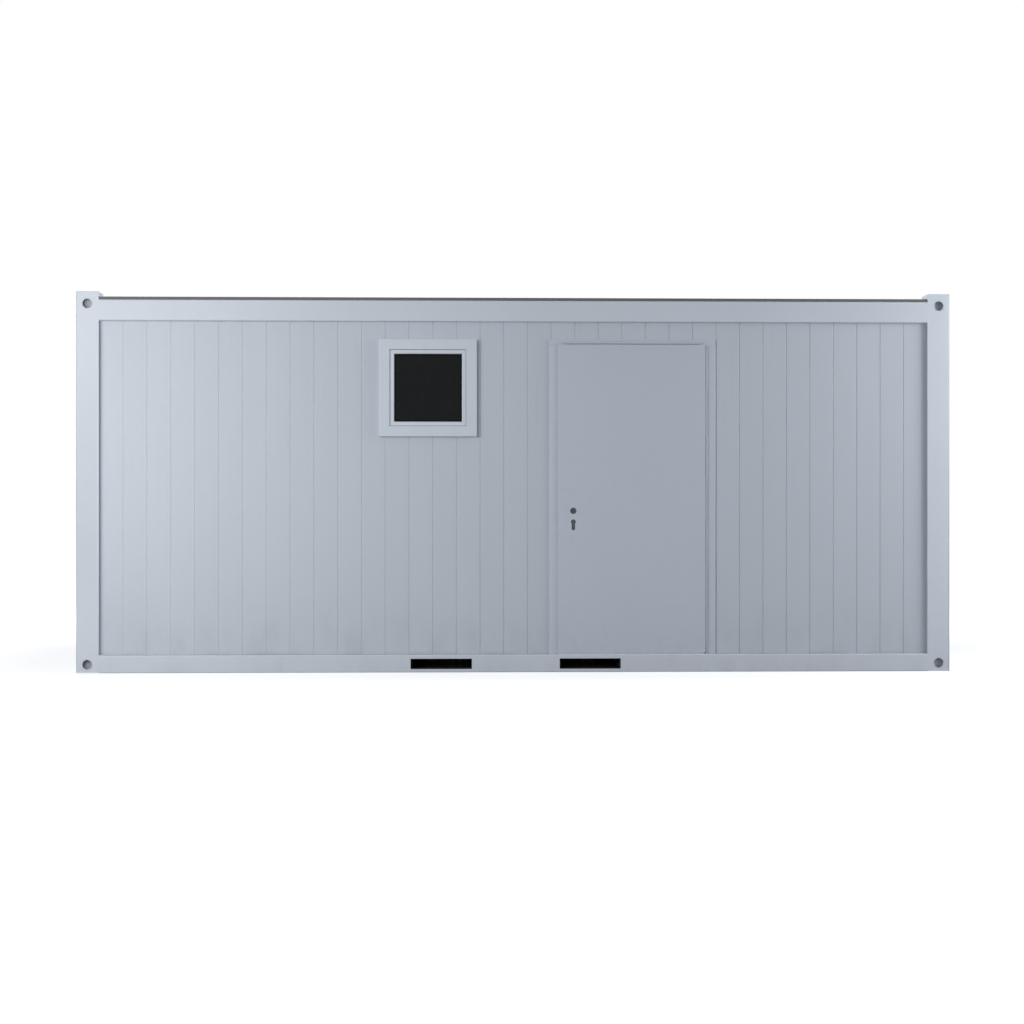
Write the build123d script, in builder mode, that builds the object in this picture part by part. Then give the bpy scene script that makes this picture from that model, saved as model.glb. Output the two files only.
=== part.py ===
from build123d import *
import os
from math import ceil, floor

# A steel-framed toilet cabin of the 20-foot class, in millimetres.
# The origin is at ground level under the middle of the cabin, +Z is up,
# +X runs to the right along the front and the front wall looks towards -Y.

# Overall size, over the corner fittings
LENGTH = 6000
WIDTH = 2400
HEIGHT = 2605

# Roll-formed frame
STEEL = 4
POST_FACE = 155
POST_CORNER_RADIUS = 14
RAIL_BEND_RADIUS = 8
BOTTOM_RAIL_HEIGHT = 122
TOP_RAIL_HEIGHT = 144
POST_RISE = 56
FITTING_WALL = 16
FITTING_RIM = 4
FITTING_CAVITY = 21
CORNER_HOLE_DIAMETER = 65
BASE_HOLE_HEIGHT = 58
TOP_HOLE_DROP = 84

# Wall panels, set back behind the faces of the frame
WALL_RECESS = 28
PANEL_THICKNESS = 60
BOARD_WIDTH = 162.5
GROOVE_WIDTH = 9
GROOVE_FLOOR_WIDTH = 4
GROOVE_DEPTH = 2

# Fork pockets, clear size
POCKET_WIDTH = 420
POCKET_HEIGHT = 71
POCKET_SPACING = 1023
POCKET_BASE = 22.5

# Floor and ceiling
DECK_THICKNESS = 22
COVERING_THICKNESS = 2.5
CEILING_THICKNESS = 20
JOIST_WIDTH = 45
JOIST_STEEL = 3
JOIST_POCKET_GAP = 52
JOISTS_EACH_SIDE = 4

# Roof
ROOF_STEEL = 3
ROOF_RISE = 16
SEAL_HEIGHT = 20
SEAL_THICKNESS = 10
SEAL_SETBACK = 6
SEAM_WIDTH = 12
SEAM_HEIGHT = 22
SEAM_END_SETBACK = 100
SEAM_COUNT = 9

# Window, a square frame round an inner sash
WINDOW_X = -602
WINDOW_DROP = 454
WINDOW_OPENING = 600
WINDOW_COVER = 34.5
WINDOW_PROUD = 27
WINDOW_FRAME_FACE = 72
WINDOW_INNER_COVER = 20
WINDOW_INNER_LIP = 8
SASH_FACE = 30
SASH_SETBACK = 8
SASH_DEPTH = 50
SASH_BEVEL = 6
GLASS_THICKNESS = 24
WINDOW_EDGE_RADIUS = 3

# Door frame
DOOR_X = 804.5
DOOR_FRAME_WIDTH = 1143
DOOR_HEAD_DROP = 118
DOOR_FRAME_PROUD = 10
LATCH_JAMB_FACE = 66
HINGE_JAMB_FACE = 52
HEAD_FACE = 44
STOP_WIDTH = 20
STOP_DEPTH = 25
SILL_PLATE = 3
SILL_UPSTAND = 17
DRIP_LENGTH = 940
DRIP_LIFT = 14
DRIP_HEIGHT = 14
DRIP_PROUD = 15
FRAME_EDGE_RADIUS = 2

# Door leaf
LEAF_THICKNESS = 50
LEAF_PROUD = 10
LEAF_GAP = 5
LEAF_LIP_COVER = 8
LEAF_EDGE_RADIUS = 3

# Continuous hinge along the right edge of the leaf
HINGE_HALF_GAP = 8
HINGE_SETBACK = 5
BARREL_RADIUS = 6.5
PIN_RADIUS = 4
PIN_CLEARANCE = 0.3
PIN_OVERHANG = 4
HINGE_PLATE = 2
HINGE_PLATE_WIDTH = 36
HINGE_PLATE_SETBACK = 9
HINGE_WEB_BITE = 5
HINGE_WEB_FRONT = 1.5
HINGE_TOP_DROP = 6
HINGE_FOOT_LIFT = 8
KNUCKLE_COUNT = 7
KNUCKLE_GAP = 0.6

# Lock, with no handle or cylinder fitted
LOCK_BACKSET = 92
SPINDLE_HEIGHT = 1107
SPINDLE_HOLE_DIAMETER = 44
CYLINDER_DROP = 76
CYLINDER_HOLE_DIAMETER = 34
KEY_SLOT_WIDTH = 24
KEY_SLOT_LENGTH = 45
LOCK_CASE_THICKNESS = 18
LOCK_CASE_HEIGHT = 190
LOCK_CASE_CENTRE_DROP = 40
LOCK_CASE_OVERRUN = 34
FOREND_WIDTH = 24
FOREND_HEIGHT = 250
FOREND_THICKNESS = 3
FOLLOWER_SIZE = 9

# Cuts run past the faces that they open by this much
OVERRUN = 10

# Levels and planes worked out from the sizes above
FRAME_DEPTH = WALL_RECESS + PANEL_THICKNESS
WALL_BASE = BOTTOM_RAIL_HEIGHT
RAIL_TOP = HEIGHT - POST_RISE
WALL_TOP = RAIL_TOP - TOP_RAIL_HEIGHT
FITTING_HEIGHT = TOP_RAIL_HEIGHT + POST_RISE
FRONT_RUN = LENGTH - 2 * POST_FACE
FRONT_Y = -WIDTH / 2
SKIN_Y = FRONT_Y + WALL_RECESS
INNER_Y = FRONT_Y + FRAME_DEPTH
FRONT_BOARD = FRONT_RUN / round(FRONT_RUN / BOARD_WIDTH)

WINDOW_Z = WALL_TOP - WINDOW_DROP
DOOR_FRAME_TOP = WALL_TOP - DOOR_HEAD_DROP
DOOR_LEFT = DOOR_X - DOOR_FRAME_WIDTH / 2
DOOR_RIGHT = DOOR_X + DOOR_FRAME_WIDTH / 2
DOOR_FACE_Y = SKIN_Y - DOOR_FRAME_PROUD
REBATE_LEFT = DOOR_LEFT + LATCH_JAMB_FACE
REBATE_RIGHT = DOOR_RIGHT - HINGE_JAMB_FACE
REBATE_TOP = DOOR_FRAME_TOP - HEAD_FACE
STOP_Y = INNER_Y - STOP_DEPTH

LEAF_FRONT_Y = DOOR_FACE_Y - LEAF_PROUD
HINGE_X = REBATE_RIGHT - HINGE_HALF_GAP
HINGE_Y = LEAF_FRONT_Y + HINGE_SETBACK
LEAF_LEFT = REBATE_LEFT + LEAF_GAP
LEAF_RIGHT = HINGE_X - HINGE_HALF_GAP
LEAF_TOP = REBATE_TOP - LEAF_GAP
LEAF_BASE = WALL_BASE + SILL_PLATE + LEAF_GAP
LIP_LEFT = REBATE_LEFT - LEAF_LIP_COVER
LIP_TOP = REBATE_TOP + LEAF_LIP_COVER
LOCK_X = LEAF_LEFT + LOCK_BACKSET
LOCK_Y = LEAF_FRONT_Y + LEAF_THICKNESS / 2
LOCK_CASE_Z = SPINDLE_HEIGHT - LOCK_CASE_CENTRE_DROP

POCKET_PLACES = {
    "left_fork_pocket": -POCKET_SPACING / 2,
    "right_fork_pocket": POCKET_SPACING / 2,
}

LOW = (Align.MIN, Align.MIN, Align.MIN)
FLAT_LOW = (Align.MIN, Align.MIN)
UP = Vector(0, 0, 1)

# Each side of the cabin: its direction from left to right as seen from outside,
# its whole length and its distance from the middle of the cabin.
SIDES = {
    "front": (Vector(1, 0, 0), LENGTH, WIDTH / 2),
    "right": (Vector(0, 1, 0), WIDTH, LENGTH / 2),
    "back": (Vector(-1, 0, 0), LENGTH, WIDTH / 2),
    "left": (Vector(0, -1, 0), WIDTH, LENGTH / 2),
}

# Each corner: the direction of one of its two legs, and the signs of its X and Y.
CORNERS = {
    "front_left": (Vector(1, 0, 0), -1, -1),
    "front_right": (Vector(0, 1, 0), 1, -1),
    "back_right": (Vector(-1, 0, 0), 1, 1),
    "back_left": (Vector(0, -1, 0), -1, 1),
}

os.makedirs("parts", exist_ok=True)


def save(solid, name):
    """Labels a finished piece and writes it to its own file."""
    solid.label = name
    export_step(solid, f"parts/{name}.step")


def corner_plane(corner, height):
    """A level plane at an outer corner, with both of its axes pointing inwards."""
    leg, sign_x, sign_y = CORNERS[corner]
    return Plane(origin=(sign_x * LENGTH / 2, sign_y * WIDTH / 2, height), x_dir=leg, z_dir=UP)


def side_plane(side, height):
    """A level plane through the middle of the cabin: X along the side, Y inwards."""
    along, _, _ = SIDES[side]
    return Plane(origin=(0, 0, height), x_dir=along, z_dir=UP)


def section_plane(side, height):
    """An upright plane across the left end of a side's rail: X inwards, Y up."""
    along, length, offset = SIDES[side]
    inwards = UP.cross(along)
    start = along * (POST_FACE - length / 2) - inwards * offset + UP * height
    return Plane(origin=start, x_dir=inwards, z_dir=along)


def front_plane(y):
    """An upright plane facing the front at the given Y: X to the right, Y up."""
    return Plane(origin=(0, y, 0), x_dir=(1, 0, 0), z_dir=(0, -1, 0))


# Corner posts: hollow angle sections that carry the roof frame
def corner_post(corner):
    with BuildPart() as post:
        with BuildSketch(corner_plane(corner, WALL_BASE)) as section:
            Rectangle(POST_FACE, FRAME_DEPTH, align=FLAT_LOW)
            Rectangle(FRAME_DEPTH, POST_FACE, align=FLAT_LOW)
            fillet(section.vertices().sort_by_distance((0, 0, 0))[0], POST_CORNER_RADIUS)
            offset(amount=-STEEL, mode=Mode.SUBTRACT)
        extrude(amount=WALL_TOP - WALL_BASE)
    save(post.part, f"corner_post_{corner}")


# Corner fittings: blocks with round holes in their outer faces, for lashing and lifting, and a
# narrow hollow for the hook round an inner core
def corner_fitting(corner, level, base, height, hole_height, lifting_hole=False):
    middle = POST_FACE / 2
    hollow = POST_FACE - 2 * FITTING_WALL
    core = hollow - FITTING_CAVITY
    with BuildPart(corner_plane(corner, base)) as fitting:
        with BuildSketch(corner_plane(corner, base)) as outline:
            Rectangle(POST_FACE, POST_FACE, align=FLAT_LOW)
            fillet(outline.vertices().sort_by_distance((0, 0, 0))[0], POST_CORNER_RADIUS)
        extrude(amount=height)
        if lifting_hole:
            chamfer(fitting.faces().sort_by(Axis.Z)[-1].edges(), FITTING_RIM)
        with BuildSketch(corner_plane(corner, base + FITTING_WALL)):
            with Locations((FITTING_WALL, FITTING_WALL)):
                Rectangle(hollow, hollow, align=FLAT_LOW)
        extrude(amount=height - 2 * FITTING_WALL, mode=Mode.SUBTRACT)
        with BuildSketch(corner_plane(corner, base + FITTING_WALL)):
            with Locations((FITTING_WALL + FITTING_CAVITY, FITTING_WALL + FITTING_CAVITY)):
                Rectangle(core, core, align=FLAT_LOW)
        extrude(amount=height - 2 * FITTING_WALL - FITTING_CAVITY)
        with Locations((middle, FITTING_WALL / 2, hole_height)):
            Cylinder(CORNER_HOLE_DIAMETER / 2, FITTING_WALL, rotation=(90, 0, 0), mode=Mode.SUBTRACT)
        with Locations((FITTING_WALL / 2, middle, hole_height)):
            Cylinder(CORNER_HOLE_DIAMETER / 2, FITTING_WALL, rotation=(0, 90, 0), mode=Mode.SUBTRACT)
        if lifting_hole:
            with Locations((middle, middle, height - FITTING_WALL / 2)):
                Cylinder(CORNER_HOLE_DIAMETER / 2, FITTING_WALL, mode=Mode.SUBTRACT)
    save(fitting.part, f"{level}_corner_fitting_{corner}")


for corner_name in CORNERS:
    corner_post(corner_name)
    corner_fitting(corner_name, "bottom", 0, BOTTOM_RAIL_HEIGHT, BASE_HOLE_HEIGHT)
    corner_fitting(corner_name, "top", WALL_TOP, FITTING_HEIGHT, FITTING_HEIGHT - TOP_HOLE_DROP, True)


# Rails: channels between the corner fittings, open inwards
def rail(side, level, base, height, pockets=False):
    _, length, _ = SIDES[side]
    with BuildPart() as channel:
        with BuildSketch(section_plane(side, base)) as section:
            Rectangle(FRAME_DEPTH, height, align=FLAT_LOW)
            with Locations((STEEL, STEEL)):
                Rectangle(FRAME_DEPTH, height - 2 * STEEL, align=FLAT_LOW, mode=Mode.SUBTRACT)
            fillet(section.vertices().group_by(Axis.X)[1], RAIL_BEND_RADIUS - STEEL)
            fillet(section.vertices().group_by(Axis.X)[0], RAIL_BEND_RADIUS)
        extrude(amount=length - 2 * POST_FACE)
        if pockets:
            with Locations(*[(x, 0, POCKET_BASE + POCKET_HEIGHT / 2) for x in POCKET_PLACES.values()]):
                Box(
                    POCKET_WIDTH + 2 * STEEL,
                    WIDTH + OVERRUN,
                    POCKET_HEIGHT + 2 * STEEL,
                    mode=Mode.SUBTRACT,
                )
    save(channel.part, f"{side}_{level}_rail")


for side_name in SIDES:
    rail(side_name, "bottom", 0, BOTTOM_RAIL_HEIGHT, pockets=side_name in ("front", "back"))
    rail(side_name, "top", WALL_TOP, TOP_RAIL_HEIGHT)


# Fork pockets: rectangular tubes right through the floor frame
def fork_pocket(name, x):
    with BuildPart() as tube:
        with BuildSketch(front_plane(FRONT_Y)):
            with Locations((x, POCKET_BASE + POCKET_HEIGHT / 2)):
                Rectangle(POCKET_WIDTH + 2 * STEEL, POCKET_HEIGHT + 2 * STEEL)
                Rectangle(POCKET_WIDTH, POCKET_HEIGHT, mode=Mode.SUBTRACT)
        extrude(amount=-WIDTH)
    save(tube.part, name)


for pocket_name, pocket_x in POCKET_PLACES.items():
    fork_pocket(pocket_name, pocket_x)


# Floor: channel joists between the long rails, a deck on them and a sheet covering
def floor_joists():
    joist_height = BOTTOM_RAIL_HEIGHT - DECK_THICKNESS - STEEL
    pocket_inner = (POCKET_SPACING - POCKET_WIDTH) / 2 - STEEL
    pocket_outer = (POCKET_SPACING + POCKET_WIDTH) / 2 + STEEL
    first = pocket_outer + JOIST_POCKET_GAP
    last = LENGTH / 2 - POST_FACE - JOIST_WIDTH
    step = (last - first) / JOISTS_EACH_SIDE
    right_side = [first + step * number for number in range(JOISTS_EACH_SIDE)]
    right_side.append(pocket_inner - JOIST_POCKET_GAP - JOIST_WIDTH)
    with BuildPart() as joists:
        with BuildSketch(front_plane(FRONT_Y + RAIL_BEND_RADIUS)):
            with Locations(*[(x, STEEL) for x in right_side]):
                Rectangle(JOIST_WIDTH, joist_height, align=FLAT_LOW)
            with Locations(*[(x + JOIST_STEEL, STEEL + JOIST_STEEL) for x in right_side]):
                Rectangle(JOIST_WIDTH, joist_height - 2 * JOIST_STEEL, align=FLAT_LOW, mode=Mode.SUBTRACT)
            mirror(about=Plane.YZ)
        extrude(amount=2 * RAIL_BEND_RADIUS - WIDTH)
    save(joists.part, "floor_joists")


def notched_sheet(name, base, thickness):
    """A sheet between the inner wall faces, cut out at the corners for the corner fittings."""
    notch = POST_FACE - FRAME_DEPTH
    with BuildPart() as sheet:
        with BuildSketch(Plane.XY.offset(base)):
            Rectangle(LENGTH - 2 * FRAME_DEPTH, WIDTH - 2 * FRAME_DEPTH)
            with GridLocations(LENGTH - POST_FACE - FRAME_DEPTH, WIDTH - POST_FACE - FRAME_DEPTH, 2, 2):
                Rectangle(notch, notch, mode=Mode.SUBTRACT)
        extrude(amount=thickness)
    save(sheet.part, name)


floor_joists()
notched_sheet("floor_deck", BOTTOM_RAIL_HEIGHT - DECK_THICKNESS, DECK_THICKNESS)
notched_sheet("ceiling", WALL_TOP, CEILING_THICKNESS)

with BuildPart() as floor_covering:
    with BuildSketch(Plane.XY.offset(WALL_BASE)):
        Rectangle(LENGTH - 2 * FRAME_DEPTH, WIDTH - 2 * FRAME_DEPTH)
    extrude(amount=COVERING_THICKNESS)
save(floor_covering.part, "floor_covering")


# Roof: a low double slope of sheet with standing seams, inside an upright seal strip
EAVE = WIDTH / 2 - FRAME_DEPTH
ROOF_INSET = SEAL_SETBACK + SEAL_THICKNESS
ROOF_EDGE = WIDTH / 2 - ROOF_INSET
SEAM_END = min(WIDTH / 2 - SEAM_END_SETBACK, EAVE)
RIDGE = RAIL_TOP + ROOF_RISE
SEAM_END_HEIGHT = RIDGE - ROOF_RISE * SEAM_END / EAVE
SEAM_TOP = ROOF_STEEL + SEAM_HEIGHT
SEAM_PITCH = FRONT_RUN / (SEAM_COUNT + 1)

with BuildPart() as roof_sheet:
    with BuildSketch(Plane.YZ.offset(ROOF_INSET - LENGTH / 2)):
        Polygon(
            (0, RIDGE),
            (EAVE, RAIL_TOP),
            (ROOF_EDGE, RAIL_TOP),
            (ROOF_EDGE, RAIL_TOP + ROOF_STEEL),
            (EAVE, RAIL_TOP + ROOF_STEEL),
            (0, RIDGE + ROOF_STEEL),
            align=None,
        )
        mirror(about=Plane.YZ)
    extrude(amount=LENGTH - 2 * ROOF_INSET)
    for seam in range(SEAM_COUNT):
        seam_x = (seam + 1) * SEAM_PITCH - FRONT_RUN / 2
        with BuildSketch(Plane.YZ.offset(seam_x - SEAM_WIDTH / 2)):
            Polygon(
                (0, RIDGE),
                (SEAM_END, SEAM_END_HEIGHT),
                (SEAM_END, SEAM_END_HEIGHT + SEAM_TOP),
                (0, RIDGE + SEAM_TOP),
                align=None,
            )
            mirror(about=Plane.YZ)
        extrude(amount=SEAM_WIDTH)
    with Locations((0, 0, RAIL_TOP)):
        with GridLocations(LENGTH - POST_FACE, WIDTH - POST_FACE, 2, 2):
            Box(POST_FACE, POST_FACE, 2 * POST_RISE, mode=Mode.SUBTRACT)
save(roof_sheet.part, "roof_sheet")

with BuildPart() as roof_edge_seal:
    for side_name in SIDES:
        _, side_length, side_offset = SIDES[side_name]
        with BuildSketch(side_plane(side_name, RAIL_TOP)):
            with Locations((0, SEAL_SETBACK - side_offset)):
                Rectangle(side_length - 2 * POST_FACE, SEAL_THICKNESS, align=(Align.CENTER, Align.MIN))
        extrude(amount=SEAL_HEIGHT)
save(roof_edge_seal.part, "roof_edge_seal")


# Walls: insulated panels whose outer skin has a groove between each two boards
def wall(name, side, start, end, base, top, opening=None):
    _, length, offset_out = SIDES[side]
    run = length - 2 * POST_FACE
    boards = round(run / BOARD_WIDTH)
    pitch = run / boards
    skin = WALL_RECESS - offset_out
    with BuildPart() as panel:
        with BuildSketch(side_plane(side, base)):
            with Locations((start, skin)):
                Rectangle(end - start, PANEL_THICKNESS, align=FLAT_LOW)
            for board in range(boards + 1):
                groove = board * pitch - run / 2
                if start - GROOVE_WIDTH < groove < end + GROOVE_WIDTH:
                    with Locations((groove, skin)):
                        Polygon(
                            (-GROOVE_WIDTH / 2, 0),
                            (GROOVE_WIDTH / 2, 0),
                            (GROOVE_FLOOR_WIDTH / 2, GROOVE_DEPTH),
                            (-GROOVE_FLOOR_WIDTH / 2, GROOVE_DEPTH),
                            align=None,
                            mode=Mode.SUBTRACT,
                        )
        extrude(amount=top - base)
        if opening:
            with BuildSketch(front_plane(SKIN_Y)):
                with Locations((WINDOW_X, WINDOW_Z)):
                    Rectangle(opening, opening)
            extrude(amount=-PANEL_THICKNESS, mode=Mode.SUBTRACT)
    save(panel.part, name)


window_half = WINDOW_OPENING / 2 + WINDOW_COVER
first_board = floor((WINDOW_X - window_half + FRONT_RUN / 2) / FRONT_BOARD)
last_board = ceil((WINDOW_X + window_half + FRONT_RUN / 2) / FRONT_BOARD)
window_left = first_board * FRONT_BOARD - FRONT_RUN / 2
window_right = last_board * FRONT_BOARD - FRONT_RUN / 2

wall("front_wall_left", "front", -FRONT_RUN / 2, window_left, WALL_BASE, WALL_TOP)
wall("front_wall_window", "front", window_left, window_right, WALL_BASE, WALL_TOP, WINDOW_OPENING)
wall("front_wall_middle", "front", window_right, DOOR_LEFT, WALL_BASE, WALL_TOP)
wall("front_wall_over_door", "front", DOOR_LEFT, DOOR_RIGHT, DOOR_FRAME_TOP, WALL_TOP)
wall("front_wall_right", "front", DOOR_RIGHT, FRONT_RUN / 2, WALL_BASE, WALL_TOP)
wall("back_wall", "back", -FRONT_RUN / 2, FRONT_RUN / 2, WALL_BASE, WALL_TOP)
END_RUN = WIDTH - 2 * POST_FACE
wall("left_wall", "left", -END_RUN / 2, END_RUN / 2, WALL_BASE, WALL_TOP)
wall("right_wall", "right", -END_RUN / 2, END_RUN / 2, WALL_BASE, WALL_TOP)


# Window: an outer frame with a cover face round the opening, a sash and a pane
def square_ring(outer, inner):
    with Locations((WINDOW_X, WINDOW_Z)):
        Rectangle(outer, outer)
        Rectangle(inner, inner, mode=Mode.SUBTRACT)


COVER_SIZE = WINDOW_OPENING + 2 * WINDOW_COVER
SASH_SIZE = COVER_SIZE - 2 * WINDOW_FRAME_FACE
PANE_SIZE = SASH_SIZE - 2 * SASH_FACE
WINDOW_FACE_Y = SKIN_Y - WINDOW_PROUD
SASH_Y = WINDOW_FACE_Y + SASH_SETBACK

with BuildPart() as window_frame:
    with BuildSketch(front_plane(SKIN_Y)):
        square_ring(COVER_SIZE, SASH_SIZE)
    extrude(amount=WINDOW_PROUD)
    fillet(window_frame.faces().sort_by(Axis.Y)[0].edges(), WINDOW_EDGE_RADIUS)
    with BuildSketch(front_plane(SKIN_Y)):
        square_ring(WINDOW_OPENING, SASH_SIZE)
    extrude(amount=-PANEL_THICKNESS)
    with BuildSketch(front_plane(INNER_Y)):
        square_ring(WINDOW_OPENING + 2 * WINDOW_INNER_COVER, SASH_SIZE)
    extrude(amount=-WINDOW_INNER_LIP)
save(window_frame.part, "window_frame")

with BuildPart() as window_sash:
    with BuildSketch(front_plane(SASH_Y)):
        square_ring(SASH_SIZE, PANE_SIZE)
    extrude(amount=-SASH_DEPTH)
    inner_edges = window_sash.faces().sort_by(Axis.Y)[0].inner_wires().edges()
    chamfer(inner_edges, SASH_BEVEL)
save(window_sash.part, "window_sash")

with BuildPart() as window_pane:
    with BuildSketch(front_plane(SASH_Y + (SASH_DEPTH - GLASS_THICKNESS) / 2)):
        with Locations((WINDOW_X, WINDOW_Z)):
            Rectangle(PANE_SIZE, PANE_SIZE)
    extrude(amount=-GLASS_THICKNESS)
save(window_pane.part, "window_pane")


# Door frame: two rebated jambs, a rebated head, a sill and a drip strip over the leaf
def jamb(name, outer_x, direction, face):
    with BuildPart() as post:
        with BuildSketch(Plane.XY.offset(WALL_BASE)):
            Polygon(
                (outer_x, DOOR_FACE_Y),
                (outer_x + direction * face, DOOR_FACE_Y),
                (outer_x + direction * face, STOP_Y),
                (outer_x + direction * (face + STOP_WIDTH), STOP_Y),
                (outer_x + direction * (face + STOP_WIDTH), INNER_Y),
                (outer_x, INNER_Y),
                align=None,
            )
        extrude(amount=REBATE_TOP - WALL_BASE)
        front_edges = post.edges().filter_by(Axis.Z).group_by(Axis.Y)[0]
        fillet(front_edges, FRAME_EDGE_RADIUS)
    save(post.part, name)


jamb("door_left_jamb", DOOR_LEFT, 1, LATCH_JAMB_FACE)
jamb("door_right_jamb", DOOR_RIGHT, -1, HINGE_JAMB_FACE)

with BuildPart() as door_head:
    with Locations((DOOR_LEFT, DOOR_FACE_Y, REBATE_TOP)):
        Box(DOOR_FRAME_WIDTH, INNER_Y - DOOR_FACE_Y, HEAD_FACE, align=LOW)
    fillet(door_head.edges().filter_by(Axis.X).group_by(Axis.Y)[0], FRAME_EDGE_RADIUS)
    with Locations((REBATE_LEFT + STOP_WIDTH, STOP_Y, REBATE_TOP - STOP_WIDTH)):
        Box(REBATE_RIGHT - REBATE_LEFT - 2 * STOP_WIDTH, STOP_DEPTH, STOP_WIDTH, align=LOW)
save(door_head.part, "door_head")

with BuildPart() as door_sill:
    with Locations((REBATE_LEFT, DOOR_FACE_Y, WALL_BASE)):
        Box(REBATE_RIGHT - REBATE_LEFT, STOP_Y - DOOR_FACE_Y, SILL_PLATE, align=LOW)
    with Locations((REBATE_LEFT + STOP_WIDTH, STOP_Y, WALL_BASE)):
        Box(
            REBATE_RIGHT - REBATE_LEFT - 2 * STOP_WIDTH,
            STOP_DEPTH,
            SILL_PLATE + SILL_UPSTAND,
            align=LOW,
        )
save(door_sill.part, "door_sill")

with BuildPart() as drip_strip:
    with Locations((DOOR_X, DOOR_FACE_Y, REBATE_TOP + DRIP_LIFT)):
        Box(DRIP_LENGTH, DRIP_PROUD, DRIP_HEIGHT, align=(Align.CENTER, Align.MAX, Align.MIN))
    chamfer(drip_strip.edges().filter_by(Axis.X).group_by(Axis.Y)[0].sort_by(Axis.Z)[-1], DRIP_HEIGHT / 2)
save(drip_strip.part, "drip_strip")


# Door leaf: an insulated slab with a lip over the latch jamb and the head, and with holes for the
# missing handle and lock cylinder
def lock_outline():
    """The spindle hole and the key hole below it, seen from the front."""
    with Locations((LOCK_X, SPINDLE_HEIGHT)):
        Circle(SPINDLE_HOLE_DIAMETER / 2)
    with Locations((LOCK_X, SPINDLE_HEIGHT - CYLINDER_DROP)):
        Circle(CYLINDER_HOLE_DIAMETER / 2)
        Rectangle(KEY_SLOT_WIDTH, KEY_SLOT_LENGTH, align=(Align.CENTER, Align.MAX))
    with Locations((LOCK_X, SPINDLE_HEIGHT - CYLINDER_DROP - KEY_SLOT_LENGTH)):
        Circle(KEY_SLOT_WIDTH / 2)


LOCK_CASE_LENGTH = LOCK_BACKSET + LOCK_CASE_OVERRUN - FOREND_THICKNESS

with BuildPart() as door_leaf:
    with Locations((LEAF_LEFT, LEAF_FRONT_Y, LEAF_BASE)):
        Box(LEAF_RIGHT - LEAF_LEFT, LEAF_THICKNESS, LEAF_TOP - LEAF_BASE, align=LOW)
    with Locations((LIP_LEFT, LEAF_FRONT_Y, LEAF_BASE)):
        Box(LEAF_RIGHT - LIP_LEFT, LEAF_PROUD - LEAF_GAP, LIP_TOP - LEAF_BASE, align=LOW)
    fillet(door_leaf.faces().sort_by(Axis.Y)[0].edges(), LEAF_EDGE_RADIUS)
    with BuildSketch(front_plane(LEAF_FRONT_Y)):
        lock_outline()
    extrude(amount=-LEAF_THICKNESS, mode=Mode.SUBTRACT)
    with Locations((LEAF_LEFT, LOCK_Y, LOCK_CASE_Z)):
        Box(
            FOREND_THICKNESS + LOCK_CASE_LENGTH,
            LOCK_CASE_THICKNESS,
            LOCK_CASE_HEIGHT,
            align=(Align.MIN, Align.CENTER, Align.CENTER),
            mode=Mode.SUBTRACT,
        )
        Box(
            FOREND_THICKNESS,
            FOREND_WIDTH,
            FOREND_HEIGHT,
            align=(Align.MIN, Align.CENTER, Align.CENTER),
            mode=Mode.SUBTRACT,
        )
save(door_leaf.part, "door_leaf")

with BuildPart() as door_lock:
    with Locations((LEAF_LEFT, LOCK_Y, LOCK_CASE_Z)):
        Box(FOREND_THICKNESS, FOREND_WIDTH, FOREND_HEIGHT, align=(Align.MIN, Align.CENTER, Align.CENTER))
    with Locations((LEAF_LEFT + FOREND_THICKNESS, LOCK_Y, LOCK_CASE_Z)):
        Box(
            LOCK_CASE_LENGTH,
            LOCK_CASE_THICKNESS,
            LOCK_CASE_HEIGHT,
            align=(Align.MIN, Align.CENTER, Align.CENTER),
        )
    with Locations((LOCK_X, LOCK_Y, SPINDLE_HEIGHT)):
        Box(FOLLOWER_SIZE, LEAF_THICKNESS, FOLLOWER_SIZE, mode=Mode.SUBTRACT)
save(door_lock.part, "door_lock")


# Continuous hinge: two plates with knuckles in turn along one pin
HINGE_BASE = LEAF_BASE + HINGE_FOOT_LIFT
HINGE_TOP = LEAF_TOP - HINGE_TOP_DROP
KNUCKLE_PITCH = (HINGE_TOP - HINGE_BASE) / KNUCKLE_COUNT
KNUCKLE_LENGTH = KNUCKLE_PITCH - KNUCKLE_GAP


def hinge_half(name, direction, first_knuckle):
    """One plate and its knuckles: direction 1 lies on the jamb, -1 on the leaf."""
    edge_x = HINGE_X + direction * HINGE_HALF_GAP
    outwards = Align.MAX if direction > 0 else Align.MIN
    with BuildPart() as half:
        with Locations((edge_x, HINGE_Y + HINGE_PLATE_SETBACK, HINGE_BASE)):
            Box(HINGE_PLATE, HINGE_PLATE_WIDTH, HINGE_TOP - HINGE_BASE, align=(outwards, Align.MIN, Align.MIN))
        for number in range(first_knuckle, KNUCKLE_COUNT, 2):
            height = HINGE_BASE + number * KNUCKLE_PITCH + KNUCKLE_GAP / 2
            with Locations((HINGE_X, HINGE_Y, height)):
                Cylinder(BARREL_RADIUS, KNUCKLE_LENGTH, align=(Align.CENTER, Align.CENTER, Align.MIN))
            with Locations((edge_x, HINGE_Y - HINGE_WEB_FRONT, height)):
                Box(
                    HINGE_WEB_BITE,
                    HINGE_PLATE_SETBACK + 2 * HINGE_WEB_FRONT,
                    KNUCKLE_LENGTH,
                    align=(outwards, Align.MIN, Align.MIN),
                )
        with Locations((HINGE_X, HINGE_Y, HINGE_BASE)):
            Cylinder(
                PIN_RADIUS + PIN_CLEARANCE,
                HINGE_TOP - HINGE_BASE,
                align=(Align.CENTER, Align.CENTER, Align.MIN),
                mode=Mode.SUBTRACT,
            )
    save(half.part, name)


hinge_half("hinge_frame_plate", 1, 0)
hinge_half("hinge_door_plate", -1, 1)

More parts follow.
